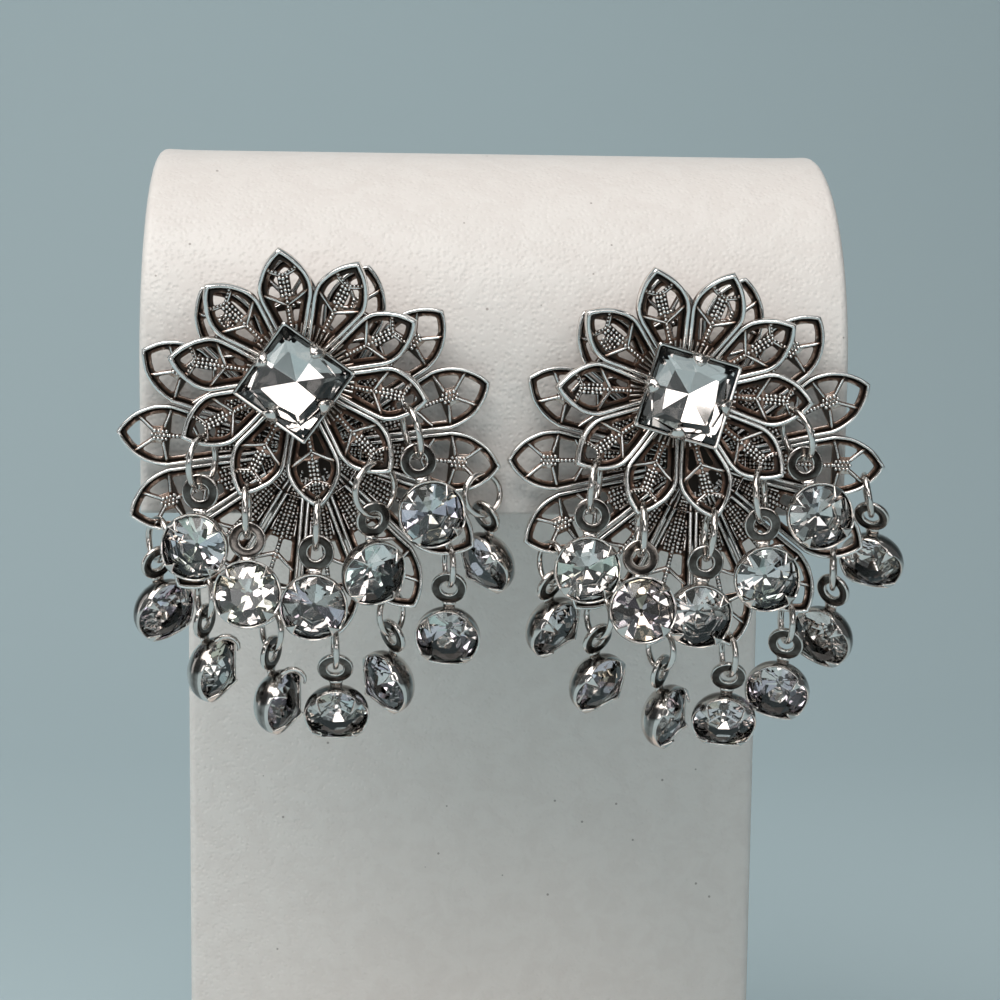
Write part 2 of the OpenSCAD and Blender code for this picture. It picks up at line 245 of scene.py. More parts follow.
def makeFoil():
    # mirror behind each stone, toned a little differently from facet to facet: painted glints, coloured and
    # grey tones that stand in for the stones' fire and the changing brightness of their reflections
    f = Finish("foil", {"Metallic": 1.0, "Roughness": stoneLook["foilRoughness"]})
    f.set("Base Color", f.ramp(f.attribute("tint"), stoneLook["foil"]))
    return f.material


leather = makeLeather()
agedSilver = makeAgedSilver()
brightSilver = makeBrightSilver()
glass = makeGlass()
foil = makeFoil()
print("finishes made")


def newObject(name, mesh, *materials):
    piece = bpy.data.objects.new(name, mesh)
    bpy.context.scene.collection.objects.link(piece)
    for material in materials:
        mesh.materials.append(material)
    return piece


def meshFrom(name, points, faces, polish=None, edges=()):
    mesh = bpy.data.meshes.new(name)
    mesh.from_pydata(points, edges, faces)
    if polish is not None:
        layer = mesh.attributes.new("polish", "FLOAT", "POINT")
        layer.data.foreach_set("value", polish)
    mesh.update()
    return mesh


def smooth(mesh, angle):
    mesh.shade_smooth()
    mesh.set_sharp_from_angle(angle=math.radians(angle))


def outward(mesh):
    bm = bmesh.new()
    bm.from_mesh(mesh)
    bmesh.ops.recalc_face_normals(bm, faces=bm.faces)
    bm.to_mesh(mesh)
    bm.free()


def joined(name, meshes, *materials):
    # one mesh from several, keeping their values, material slots and smooth faces
    points, faces, polish, tints, slots, smooths = [], [], [], [], [], []
    for mesh in meshes:
        start = len(points)
        points += [tuple(v.co) for v in mesh.vertices]
        layer = mesh.attributes.get("polish")
        polish += [d.value for d in layer.data] if layer else [1.0] * len(mesh.vertices)
        layer = mesh.attributes.get("tint")
        tints += [d.value for d in layer.data] if layer else []
        faces += [[start + i for i in p.vertices] for p in mesh.polygons]
        slots += [p.material_index for p in mesh.polygons]
        smooths += [p.use_smooth for p in mesh.polygons]
    result = meshFrom(name, points, faces, polish)
    if tints:
        result.attributes.new("tint", "FLOAT", "FACE").data.foreach_set("value", tints)
    result.polygons.foreach_set("material_index", slots)
    result.polygons.foreach_set("use_smooth", smooths)
    for material in materials:
        result.materials.append(material)
    return result


def lathe(name, profile, steps, polish=None, closed=False):
    # profile of (radius, height) points turned round the Z axis; radius 0 makes a pole
    points, faces, values, rows = [], [], [], []
    for i, (radius, height) in enumerate(profile):
        count = steps if radius > 1e-6 else 1
        rows.append([len(points) + k % count for k in range(steps + 1)])
        angles = [360 * k / steps for k in range(count)]
        points += [(radius * cos(a), radius * sin(a), height) for a in angles]
        values += [polish[i] if polish else 1.0] * count
    for low, high in zip(rows, rows[1:] + (rows[:1] if closed else [])):
        for k in range(steps):
            # a pole's doubled corner is left out
            faces.append(tuple(dict.fromkeys((low[k], low[k + 1], high[k + 1], high[k]))))
    mesh = meshFrom(name, points, faces, values)
    outward(mesh)
    return mesh


def stacked(loops, width, closed=False):
    # faces between equal loops of points that follow one another; the ends are capped, or meet if closed
    faces = []
    for i in range(loops if closed else loops - 1):
        j = (i + 1) % loops
        for k in range(width):
            n = (k + 1) % width
            faces.append((i * width + k, i * width + n, j * width + n, j * width + k))
    if not closed:
        faces.append(tuple(range(width))[::-1])
        faces.append(tuple((loops - 1) * width + k for k in range(width)))
    return faces


def tube(name, path, radii, steps):
    # round wire along a path of points, with a radius for each and a cap on both ends
    points = []
    count = len(path)
    vectors = [Vector(p) for p in path]
    side = None
    for i, here in enumerate(vectors):
        along = (vectors[min(i + 1, count - 1)] - vectors[max(i - 1, 0)]).normalized()
        if side is None:
            side = along.orthogonal().normalized()
        side = (side - along * side.dot(along)).normalized()
        other = along.cross(side)
        for a in (360 * k / steps for k in range(steps)):
            points.append(tuple(here + side * (radii[i] * cos(a)) + other * (radii[i] * sin(a))))
    mesh = meshFrom(name, points, stacked(count, steps))
    outward(mesh)
    mesh.shade_smooth()
    return mesh


def lipSpace(side):
    # millimetres right, up and forward from the middle of the back flower, to metres in the frame
    p = places[side]
    turn = Matrix(((1, 0, 0, p["x"]), (0, 0, -1, lipY), (0, 1, 0, p["z"]), (0, 0, 0, 1)))
    return Matrix.Scale(mm, 4) @ turn


def turned(centre, *turns):
    place = Matrix.Translation(centre)
    for angle, axis in turns:
        place = place @ Matrix.Rotation(math.radians(angle), 4, axis)
    return place


def evaluated(piece):
    # the result of a curve or of modifiers as a plain mesh; the piece itself goes
    bpy.context.view_layer.update()
    mesh = bpy.data.meshes.new_from_object(piece.evaluated_get(bpy.context.evaluated_depsgraph_get()))
    bpy.data.objects.remove(piece)
    return mesh


def settle(name, mesh, place, slot, *nodes):
    mesh.transform(place)
    piece = newObject(name + "_dressed", mesh)
    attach(piece, "root")
    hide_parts(*(nodes or [name]))


lipY = -24.5
places = {
    "left": {"x": -18.5, "z": 99.8, "backTurn": 7.9, "frontTurn": 9.0, "stoneTurn": 9.4, "offset": 7.1,
             "direction": 97},
    "right": {"x": 19.8, "z": 98.6, "backTurn": 12.1, "frontTurn": 14.9, "stoneTurn": 29.0, "offset": 7.3,
              "direction": 105},
}
petals = {
    # the arch is the round side of a petal; tipA is its angle at the tip, tilt lifts the petal off the hub
    "back": {"count": 14, "tipR": 19, "archR": 5.4, "tipA": 64, "baseR": 5, "hubR": 6.4, "tilt": 5,
             "shoulderR": 2.0, "forward": 1.1},
    "front": {"count": 10, "tipR": 13, "archR": 6, "tipA": 58, "baseR": 2.6, "hubR": 4.2, "tilt": 13,
              "shoulderR": 3.0, "forward": 4.2},
}
groove = 0.24    # between neighbouring petals
play = 0.12      # between pieces that hang or sit in one another


def petalSide(f, inset, steps):
    # right half of a petal's outline from the root to the tip, moved in by inset, with a rounded shoulder
    half = 180 / f["count"]
    across = Vector((cos(half), -sin(half)))
    along = Vector((sin(half), cos(half)))
    arch = Vector((-f["archR"] * cos(f["tipA"]), f["tipR"] - f["archR"] * sin(f["tipA"])))
    off = -groove / 2 - f["shoulderR"]
    reach = f["archR"] - f["shoulderR"]
    shoulder = across * off + along * (arch.dot(along) + math.sqrt(reach ** 2 - (off - arch.dot(across)) ** 2))
    turn = math.degrees(math.atan2(shoulder.y - arch.y, shoulder.x - arch.x))
    tip = math.degrees(math.acos(-arch.x / (f["archR"] - inset)))
    r = f["shoulderR"] - inset
    curve = [shoulder + r * Vector((cos(a), sin(a))) for a in (-half + (turn + half) * i / 4 for i in range(5))]
    r = f["archR"] - inset
    curve += [arch + r * Vector((cos(a), sin(a)))
              for a in (turn + (tip - turn) * i / steps for i in range(1, steps + 1))]
    edge = groove / 2 + inset
    y = max(f["baseR"] + inset * 0.5, edge / sin(half) + 0.05)
    start = Vector((y * math.tan(math.radians(half)) - edge / cos(half), y))
    return [tuple(start.lerp(curve[0], t)) for t in (0, 0.25, 0.5, 0.75)] + [tuple(p) for p in curve]


def petalLoop(f, inset, steps):
    half = petalSide(f, inset, steps)
    half[-1] = (0, half[-1][1])
    return half + [(-x, y) for x, y in half[-2::-1]]


rimLook = {
    # inset from the outer edge, height, polish
    "back": [(0.06, 0.0, 0.0), (0.0, 0.15, 0.1), (0.0, 0.68, 0.6), (0.04, 0.82, 1.0), (0.12, 0.90, 1.0),
             (0.24, 0.90, 1.0), (0.33, 0.82, 1.0), (0.37, 0.62, 0.25), (0.41, 0.34, 0.0), (0.50, 0.18, 0.0),
             (0.66, 0.16, 0.0), (0.66, 0.0, 0.0)],
    "front": [(0.06, 0.0, 0.0), (0.0, 0.2, 0.1), (0.0, 0.84, 0.6), (0.05, 1.0, 1.0), (0.15, 1.09, 1.0),
              (0.29, 1.09, 1.0), (0.39, 1.0, 1.0), (0.43, 0.76, 0.25), (0.48, 0.38, 0.0), (0.56, 0.18, 0.0),
              (0.72, 0.16, 0.0), (0.72, 0.0, 0.0)],
    "steps": 12,
}
traceryLook = {
    "ledge": {"back": 0.84, "front": 0.92},     # from the outer edge to the openings
    "valley": {"back": 0.54, "front": 0.60},
    "bar": 0.34,
    "corner": 0.26,
    "low": 0.05,                                # under and upper side of the pierced plate
    "high": 0.38,
    "bevel": 0.05,
    "wire": 0.15,
    "bead": 0.2,
    "beadHeight": 0.45,
    "pitch": 0.37,
    "casting": 0.13,                            # unevenness of the cast metal
    "seed": 4,
}


def petalRim(f, profile, steps):
    points, polish = [], []
    for inset, height, value in profile:
        for x, y in petalLoop(f, inset, steps):
            points.append((x, y, height))
            polish.append(value)
    faces = stacked(len(profile), len(points) // len(profile), closed=True)
    mesh = meshFrom("petalRim", points, faces, polish)
    outward(mesh)
    return mesh


def walled(shape, start, end, gap):
    # part of a convex shape that is on the left of a line and more than the gap away from it
    size = math.dist(start, end)
    nx, ny = (start[1] - end[1]) / size, (end[0] - start[0]) / size
    away = [(x - start[0] - nx * gap) * nx + (y - start[1] - ny * gap) * ny for x, y in shape]
    result = []
    for i, here in enumerate(shape):
        after, a, b = shape[i + 1 - len(shape)], away[i], away[i + 1 - len(shape)]
        if a >= 0:
            result.append(here)
        if (a > 0 > b) or (a < 0 < b):
            result.append(tuple(h + (n - h) * a / (a - b) for h, n in zip(here, after)))
    return result


def rounded(shape, r):
    # convex shape with every corner rounded to radius r
    core = shape
    for start, end in zip(shape, shape[1:] + shape[:1]):
        if math.dist(start, end) > 1e-5:
            core = walled(core, start, end, r)
    core = [p for i, p in enumerate(core) if math.dist(p, core[i - 1]) > 1e-4]
    result = []
    for i, here in enumerate(core):
        before, after = core[i - 1], core[(i + 1) % len(core)]
        first = math.atan2(before[0] - here[0], here[1] - before[1])
        turn = (math.atan2(here[0] - after[0], after[1] - here[1]) - first) % (2 * math.pi)
        count = 1 + int(turn / 0.4)
        for j in range(count + 1) if turn > 0.1 else [0.5]:
            a = first + turn * j / count
            result.append((here[0] + r * math.cos(a), here[1] + r * math.sin(a)))
    return result


def cell(contour, *walls):
    # an opening: the petal's inside, cut by walls that are half a bar away
    shape = contour
    for start, end in walls:
        shape = walled(shape, start, end, traceryLook["bar"] / 2)
    return rounded(shape, traceryLook["corner"])


tracery = {
    # openings are cut by walls, lines through two points with the opening on their left; the ones at the
    # sides are mirrored, as are the side wires and beads
    "back": {
        "top": [((0.35, 15.3), (1.9, 17.2)), ((-1.9, 17.2), (-0.35, 15.3)), ((-1.0, 15.35), (1.0, 15.35))],
        "sides": [
            [((1.9, 17.2), (0.35, 15.3)), ((0.5, 14.45), (3.0, 13.75)), ((0.62, 15.6), (0.62, 14.0))],
            [((3.0, 13.75), (0.5, 14.45)), ((0.0, 11.0), (2.4, 12.3)), ((0.0, 13.9), (-0.01, 8.0)),
             ((0.3, 13.95), (-0.3, 13.95))],
            [((2.4, 12.3), (0.0, 11.0)), ((0.01, 13.0), (0.0, 9.0)), ((-1.0, 9.25), (1.0, 9.25))],
        ],
        "wires": [((0.3, 15.25), (1.75, 17.0)), ((0.5, 14.45), (2.7, 13.85)), ((0, 11.0), (2.1, 12.15)),
                  ((0.7, 5.9), (1.2, 8.9)), ((0.52, 3.0), (1.0, 5.9))],
        "beads": [((0.36, 5.2), (0.45, 9.1)), ((0.8, 6.6), (0.85, 9.1)), ((0.2, 3.4), (0.34, 4.9)),
                  ((0.37, 14.15), (0.37, 15.3))],
        "middleWires": [],
        "middleBeads": [((0, 2.6), (0, 13.8)), ((0, 14.0), (0, 15.55))],
    },
    "front": {
        "top": [((0.0, 10.15), (2.0, 11.2)), ((-2.0, 11.2), (0.0, 10.15))],
        "sides": [
            [((2.0, 11.2), (0.0, 10.15)), ((0.0, 7.35), (2.4, 8.75)), ((0.36, 11.0), (0.36, 7.0))],
            [((2.4, 8.75), (0.0, 7.35)), ((0.14, 9.0), (0.08, 5.0)), ((-1.0, 5.35), (1.0, 5.35))],
        ],
        "wires": [((0, 10.15), (1.5, 10.9)), ((0, 7.35), (2.1, 8.55)), ((0.35, 3.6), (0.5, 5.4)),
                  ((0.7, 3.8), (1.1, 5.4))],
        "beads": [((0.36, 8.35), (0.36, 10.1)), ((0.3, 10.5), (1.3, 11.0))],
        "middleWires": [((0, 3.5), (0, 5.3))],
        "middleBeads": [((0, 5.3), (0, 7.2)), ((0, 7.7), (0, 10.4))],
    },
}


def openings(row, contour):
    k = tracery[row]
    right = [cell(contour, *walls) for walls in k["sides"]]
    return [cell(contour, *k["top"])] + right + [[(-x, y) for x, y in shape[::-1]] for shape in right]


def bothSides(lines, middle):
    return [[(s * x, y) for x, y in line] for s in (-1, 1) for line in lines] + middle


def openPlate(outer, holes):
    # flat plate with openings, its edges rounded by the curve's bevel
    k = traceryLook
    curve = bpy.data.curves.new("plate", "CURVE")
    curve.dimensions = "2D"
    curve.fill_mode = "BOTH"
    curve.extrude = (k["high"] - k["low"]) / 2 - k["bevel"]
    curve.bevel_depth = k["bevel"]
    curve.bevel_resolution = 1
    for loop in [outer] + holes:
        spline = curve.splines.new("POLY")
        spline.points.add(len(loop) - 1)
        for point, (x, y) in zip(spline.points, loop):
            point.co = (x, y, 0, 1)
        spline.use_cyclic_u = True
    piece = bpy.data.objects.new("plate", curve)
    bpy.context.scene.collection.objects.link(piece)
    mesh = evaluated(piece)
    bm = bmesh.new()
    bm.from_mesh(mesh)
    bmesh.ops.remove_doubles(bm, verts=bm.verts, dist=0.002)
    bmesh.ops.translate(bm, verts=bm.verts, vec=(0, 0, (k["high"] + k["low"]) / 2))
    bm.to_mesh(mesh)
    bm.free()
    outward(mesh)
    layer = mesh.attributes.new("polish", "FLOAT", "POINT")
    layer.data.foreach_set("value", [0.5 if v.co.z > k["high"] - 0.02 else 0.0 for v in mesh.vertices])
    return mesh


def lineMesh(name, lines, level):
    points, edges = [], []
    for line in lines:
        start = len(points)
        points += [(x, y, level) for x, y in line]
        edges += [(start + i, start + i + 1) for i in range(len(line) - 1)]
    return meshFrom(name, points, [], edges=edges)


def flowerTree():
    # wires and beads on one petal's lines, then the petal repeated round the hub and made a little uneven
    tree = bpy.data.node_groups.new("piercedFlower", "GeometryNodeTree")
    kinds = {"Geometry": "Geometry", "Wires": "Object", "Beads": "Object", "Wire Radius": "Float",
             "Bead Radius": "Float", "Bead Pitch": "Float", "Petals": "Int", "Tilt": "Float",
             "Hinge Radius": "Float", "Casting": "Float", "Seed": "Int", "Finish": "Material"}
    inputs = {name: tree.interface.new_socket(name, in_out="INPUT", socket_type="NodeSocket" + kind).identifier
              for name, kind in kinds.items()}
    tree.interface.new_socket("Geometry", in_out="OUTPUT", socket_type="NodeSocketGeometry")
    m = Maker(tree)
    group = m.add("NodeGroupInput")
    given = {name: m.out(group, name) for name in inputs}

    def spaced(source, length):
        lines = m.get("GeometryNodeObjectInfo", {}, {"Object": given[source]}, "Geometry")
        curve = m.get("GeometryNodeMeshToCurve", {}, {"Mesh": lines})
        return m.get("GeometryNodeResampleCurve", {"mode": "LENGTH"}, {"Curve": curve, "Length": length})

    def marked(mesh, polish):
        return m.get("GeometryNodeStoreNamedAttribute", {"data_type": "FLOAT", "domain": "POINT"}, {
            "Geometry": mesh, "Name": "polish", "Value": polish})

    def vector(axis, value):
        return m.get("ShaderNodeCombineXYZ", {}, {axis: value})

    circle = m.get("GeometryNodeCurvePrimitiveCircle", {}, {"Resolution": 8, "Radius": given["Wire Radius"]})
    wires = m.get("GeometryNodeCurveToMesh", {}, {
        "Curve": spaced("Wires", 0.35), "Profile Curve": circle, "Fill Caps": True})
    ball = m.get("GeometryNodeMeshIcoSphere", {}, {"Radius": given["Bead Radius"], "Subdivisions": 2})
    size = m.get("FunctionNodeRandomValue", {"data_type": "FLOAT"}, {
        "Min": 0.68, "Max": 1.2, "Seed": given["Seed"]})
    beads = m.get("GeometryNodeInstanceOnPoints", {}, {
        "Points": spaced("Beads", given["Bead Pitch"]), "Instance": ball, "Scale": size})
    beads = m.get("GeometryNodeRealizeInstances", {}, {"Geometry": beads})
    petal = m.add("GeometryNodeJoinGeometry")
    for source in (given["Geometry"], marked(wires, 0.9), marked(beads, 0.85)):
        tree.links.new(source.socket, petal.inputs[0])
    hinged = m.get("GeometryNodeTransform", {}, {
        "Geometry": m.out(petal), "Translation": vector("Y", given["Hinge Radius"] * -1.0)})
    tilted = m.get("GeometryNodeTransform", {}, {
        "Geometry": hinged, "Rotation": vector("X", given["Tilt"]),
        "Translation": vector("Y", given["Hinge Radius"])})
    spots = m.get("GeometryNodePoints", {}, {"Count": given["Petals"]})
    step = m.get("ShaderNodeMath", {"operation": "DIVIDE"}, {0: 2 * math.pi, 1: given["Petals"]})
    index = m.get("GeometryNodeInputIndex", {}, {})
    flower = m.get("GeometryNodeInstanceOnPoints", {}, {
        "Points": spots, "Instance": tilted, "Rotation": vector("Z", index * step * -1.0)})
    solid = m.get("GeometryNodeRealizeInstances", {}, {"Geometry": flower})
    uneven = m.get("ShaderNodeTexNoise", {}, {
        "Vector": m.get("GeometryNodeInputPosition", {}, {}), "Scale": 0.9, "Detail": 1.0}, "Color")
    centred = m.get("ShaderNodeVectorMath", {"operation": "SUBTRACT"}, {0: uneven, 1: (0.5, 0.5, 0.5)})
    offset = m.get("ShaderNodeVectorMath", {"operation": "SCALE"}, {0: centred, "Scale": given["Casting"]})
    cast = m.get("GeometryNodeSetPosition", {}, {"Geometry": solid, "Offset": offset})
    shaded = m.get("GeometryNodeSetShadeSmooth", {}, {"Geometry": cast})
    finished = m.get("GeometryNodeSetMaterial", {}, {"Geometry": shaded, "Material": given["Finish"]})
    m.add("NodeGroupOutput", {}, {"Geometry": finished})
    return tree, inputs


patinaLook = {
    "rays": 20,
    "reach": 1.6,
    "spiral": 2.399963,      # golden angle, spreads the rays evenly
    "own": 0.6,
    "open": 0.4,
    "hidden": 0.55,
}


def darkenRecesses(mesh, repeats):
    # lowers the polish where the metal is hidden from outside; worked out on one petal and used for all
    k = patinaLook
    tree = BVHTree.FromPolygons([v.co for v in mesh.vertices], [p.vertices for p in mesh.polygons])
    layer = mesh.attributes["polish"]
    count = len(mesh.vertices) // repeats
    ways = []
    for i in range(k["rays"]):
        h = 1 - (i + 0.5) / k["rays"]
        a = i * k["spiral"]
        ways.append(Vector((math.sqrt(1 - h * h) * math.cos(a), math.sqrt(1 - h * h) * math.sin(a), h)))
    openness = []
    for v in list(mesh.vertices)[:count]:
        around = v.normal.to_track_quat("Z", "Y")
        start = v.co + v.normal * 0.02
        hits = sum(tree.ray_cast(start, around @ way, k["reach"])[0] is not None for way in ways)
        openness.append(1 - hits / k["rays"])
    values = [d.value for d in layer.data]
    for i in range(count * repeats):
        bare = openness[i % count]
        values[i] = values[i] * k["own"] + k["open"] * bare - k["hidden"] * (1 - bare)
    layer.data.foreach_set("value", values)


def makeFlower(side, row, tree, inputs):
    f = petals[row]
    look = traceryLook
    rim = petalRim(f, rimLook[row], rimLook["steps"])
    lines = tracery[row]
    holes = openings(row, petalLoop(f, look["ledge"][row], 10))
    plate = openPlate(petalLoop(f, look["valley"][row] + look["bevel"], 10), holes)
    base = newObject("petalBase", joined("petalBase", [rim, plate]))
    wires = lineMesh("petalWires", bothSides(lines["wires"], lines["middleWires"]), look["high"])
    beads = lineMesh("petalBeads", bothSides(lines["beads"], lines["middleBeads"]), look["beadHeight"])
    wireObject, beadObject = newObject("petalWires", wires), newObject("petalBeads", beads)
    modifier = base.modifiers.new("flower", "NODES")
    modifier.node_group = tree
    for name, value in (("Wires", wireObject), ("Beads", beadObject), ("Wire Radius", look["wire"]),
                        ("Bead Radius", look["bead"]), ("Bead Pitch", look["pitch"]), ("Petals", f["count"]),
                        ("Tilt", math.radians(f["tilt"])), ("Hinge Radius", float(f["baseR"])),
                        ("Casting", look["casting"]), ("Seed", look["seed"]), ("Finish", agedSilver)):
        modifier[inputs[name]] = value
    ring = evaluated(base)
    for helper in (wireObject, beadObject):
        bpy.data.objects.remove(helper)
    darkenRecesses(ring, f["count"])
    hubR = f["hubR"]
    hub = lathe("hub", [(0, -0.05), (hubR - 0.2, -0.05), (hubR, 0.05), (hubR, 0.16), (hubR - 0.25, 0.2),
                        (hubR * 0.8, 0.12), (0, 0.12)], 64, [0, 0, 0, 0.2, 0.2, 0, 0])
    parts = [ring, hub]
    if row == "front":
        parts.append(lathe("post", [(0, -1.5), (2.3, -1.5), (2.4, -1.4), (2.4, 0.0), (0, 0.0)], 40, [0.1] * 5))
    name = side + "_" + row + "_flower"
    mesh = joined(name, parts, agedSilver)
    smooth(mesh, 50)
    place = lipSpace(side) @ turned(flowerCentre(side, row), (places[side][row + "Turn"], "Z"))
    settle(name, mesh, place, "antique_silver")
    print(name, len(mesh.polygons), "faces")


def flowerCentre(side, row):
    p = places[side]
    off = p["offset"] if row == "front" else 0
    return Vector((off * cos(p["direction"]), off * sin(p["direction"]), petals[row]["forward"]))


flowerNodes, flowerInputs = flowerTree()
for side in sides:
    for row in ("back", "front"):
        makeFlower(side, row, flowerNodes, flowerInputs)
print("flowers made")

# petal counted clockwise from the top, place along its lower rim, turn of the ring, turn of the cup,
# nod away from the viewer, lean to the right
dropRows = {
    "left": {
        "front": [(3, 1.5, 15, 8, 2, 13), (4, 1.0, -48, 25, 12, -4), (5, 0.5, 0, 0, 2, -2),
                  (6, -0.6, 0, 0, -8, 1), (7, -1.4, -25, -8, 3, -4)],
        "back": [(4, 1.6, -60, -46, 30, 10), (5, 1.8, 10, -8, 25, 1), (6, 2.0, -35, -50, 26, 3),
                 (7, 0, 5, 0, 32, 1), (8, -2.0, 30, 62, 16, -1), (9, -2.0, 25, 62, 18, -1),
                 (10, -2.0, 32, 38, 27, -2)],
    },
    "right": {
        "front": [(3, 1.5, 20, 0, 0, 16), (4, 1.6, -20, 0, 4, 5), (5, 0.5, 0, 0, 10, -6),
                  (6, -0.6, 0, 0, -14, 0), (7, -1.5, -15, 0, 0, -5)],
        "back": [(4, 1.5, -10, -25, 34, 12), (5, 2.0, -15, -40, 27, 1), (6, 1.6, 5, -20, 26, -1),
                 (7, 0.5, 10, -8, 32, 1), (8, -1.4, 30, 55, 25, 1), (9, -2.0, 30, 35, 31, -3),
                 (10, -2.0, 30, 40, 36, -1)],
    },
}
hooked = {("left", "back", 4), ("left", "back", 5)}      # cups with a prong that is bent up
dropLook = {
    "ringD": {"front": 5.6, "back": 4.6},
    "wire": 0.52,            # as in the CAD, for where things hang
    "wireShown": 0.66,
    "rim": 0.5,              # width and thickness of a petal's rim in the CAD
    "rimT": 0.7,
    "loopD": 3.6,
    "loopHole": 1.9,
    "holeShown": 1.56,
    "loopT": 0.5,
    "loopToCup": 5.2,
    "cupForward": 1.2,
    "cupR": 3.32,
    "cupDepth": 2.6,
    "wall": 0.2,
    "stoneR": 3.0,
    "stoneDrop": 0.22,
    "loopEdge": 0.16,
    "washerFaceShade": 0.14,      # painted shade: polish of the flat faces, darker than their edges, for the dark reflections they show
    "prongLength": 1.4,
    "prongLean": 52,
    "prongHalf": 8.4,        # half a prong's width, in degrees round the cup
    "rimHeight": 0.62,
    "rimDip": 0.42,
    "dipStart": 7,           # degrees from the middle of a prong
    "dipSpan": 26,
}
# height of a stone's table and girdle over its widest line, depth of its point, and table and crown facets
# as shares of its radius
cutLook = {"table": 1.0, "girdle": 0.3, "depth": 2.35, "tableShare": 0.54, "midShare": 0.84}


def ringTop(side, row, d):
    f = petals[row]
    petal, slide = d[0], d[1]
    cx = -f["archR"] * cos(f["tipA"])
    cy = f["tipR"] - f["archR"] * sin(f["tipA"])
    r = f["archR"] - dropLook["rim"] / 2
    a = math.acos((abs(slide) - cx) / r)
    inward = a + math.pi if slide > 0 else (-a if slide < 0 else -math.pi / 2)
    room = dropLook["rim"] / 2 + dropLook["wire"] / 2 + 2.5 * play
    x = slide + room * math.cos(inward)
    y = cy + math.sqrt(r * r - (abs(slide) - cx) ** 2) + room * math.sin(inward)
    lift = dropLook["rimT"] / 2
    out = f["baseR"] + (y - f["baseR"]) * cos(f["tilt"]) - lift * sin(f["tilt"])
    w = (y - f["baseR"]) * sin(f["tilt"]) + lift * cos(f["tilt"])
    turn = places[side][row + "Turn"] - 360 / f["count"] * petal
    return flowerCentre(side, row) + Matrix.Rotation(math.radians(turn), 3, "Z") @ Vector((x, out, w))


def ringPlace(side, row, d):
    ringR = (dropLook["ringD"][row] - dropLook["wire"]) / 2
    down = Vector((sin(d[5]), -cos(d[5]), 0))
    centre = ringTop(side, row, d) + down * ringR
    hole = dropLook["loopHole"] / 2 * cos(d[4]) - dropLook["loopT"] / 2 * sin(abs(d[4]))
    loop = centre + down * (ringR + hole - dropLook["wire"] / 2 - 2.2 * play)
    return centre, loop


def cupMesh(folds):
    # bowl with a rim that dips between pointed prongs, which fold over the stone; loop and neck above
    k = dropLook
    angles = [45 + 90 * q + step for q in range(4) for step in
              (-45, -36, -28, -21, -15, -11, -8.5, -6.5, -4.5, -2.2, 0, 2.2, 4.5, 6.5, 8.5, 11, 15, 21, 28, 36)]
    steps = len(angles)
    points, faces, polish = [], [], []

    def shape(a, inner):
        quarter = int((a % 360) // 90)
        near = abs((a % 90) - 45)
        rise = k["rimHeight"] - k["rimDip"] * min(1.0, max(0.0, (near - k["dipStart"]) / k["dipSpan"])) ** 0.7
        tongue = k["prongLength"] * max(0.0, 1 - near / k["prongHalf"]) ** 0.8 if folds[quarter] else 0.0
        r = k["cupR"] - (k["wall"] if inner else 0)
        depth = k["cupDepth"] - (k["wall"] if inner else 0)
        line = [(r * sin(10 * i), -depth * cos(10 * i)) for i in range(1, 10)]
        line += [(r, rise * 0.5), (r - 0.03, rise)]
        over = 0.0 if inner else k["wall"] * 0.7
        for i in range(1, 4):
            reach = tongue * i / 3 + 0.012 * i
            line.append((r - 0.04 - reach * sin(k["prongLean"]), rise + reach * cos(k["prongLean"]) + over))
        return line

    for inner in (False, True):
        for a in angles:
            line = shape(a, inner)
            points += [(r * cos(a), r * sin(a), h) for r, h in line]
            # painted shade: the outer wall just under the rim gets a low polish, a dark band standing in for
            # dark reflections, and the whole inside is dark for the shade in the bowl; rim and prongs stay
            # bright
            polish += [0.15] * 9 if inner else [0.9] * 5 + [0.5, 0.3, 0.2, 0.3]
            polish += [0.9] * (len(line) - 9)
    height = len(points) // (2 * steps)
    pole = [len(points), len(points) + 1]
    points += [(0, 0, -k["cupDepth"]), (0, 0, -k["cupDepth"] + k["wall"])]
    # the inner pole is dark for the same painted shade
    polish += [0.9, 0.2]
    block = steps * height
    for s in range(steps):
        n = (s + 1) % steps
        for layer in (0, 1):
            o = layer * block
            for i in range(height - 1):
                quad = (o + s * height + i, o + n * height + i, o + n * height + i + 1, o + s * height + i + 1)
                faces.append(quad if layer == 0 else quad[::-1])
            cap = (pole[layer], o + n * height, o + s * height)
            faces.append(cap if layer == 0 else cap[::-1])
        top = height - 1
        faces.append((s * height + top, n * height + top, block + n * height + top, block + s * height + top))
    bowl = meshFrom("bowl", points, faces, polish)
    outward(bowl)
    bowl.shade_smooth()
    bowl.transform(Matrix.Translation((0, -k["loopToCup"], k["cupForward"])))

    inner, outer, t, edge = k["holeShown"] / 2, k["loopD"] / 2, k["loopT"] / 2, k["loopEdge"]
    section, wornAndShaded = [], []
    for cx, cz, start in ((outer - edge, t - edge, 0), (inner + edge, t - edge, 90),
                          (inner + edge, edge - t, 180), (outer - edge, edge - t, 270)):
        for i in range(4):
            section.append((cx + edge * cos(start + 30 * i), cz + edge * sin(start + 30 * i)))
            # painted shade: the flat faces get a low polish and show dark, standing in for dark reflections;
            # the rounded edges stay bright
            wornAndShaded.append(k["washerFaceShade"] if (start + 30 * i) % 180 == 90 else 1.0)
    washer = lathe("washer", section, 48, wornAndShaded, closed=True)
    washer.shade_smooth()
    path = [(0, -outer + 0.15, 0), (0, -outer - 0.3, 0), (0, -outer - 0.95, 0.05)]
    neck = tube("neck", path, [0.42, 0.36, 0.36], 12)
    neck.transform(Matrix.Diagonal((1.8, 1, 0.7, 1)))
    return joined("cup", [bowl, washer, neck], brightSilver)


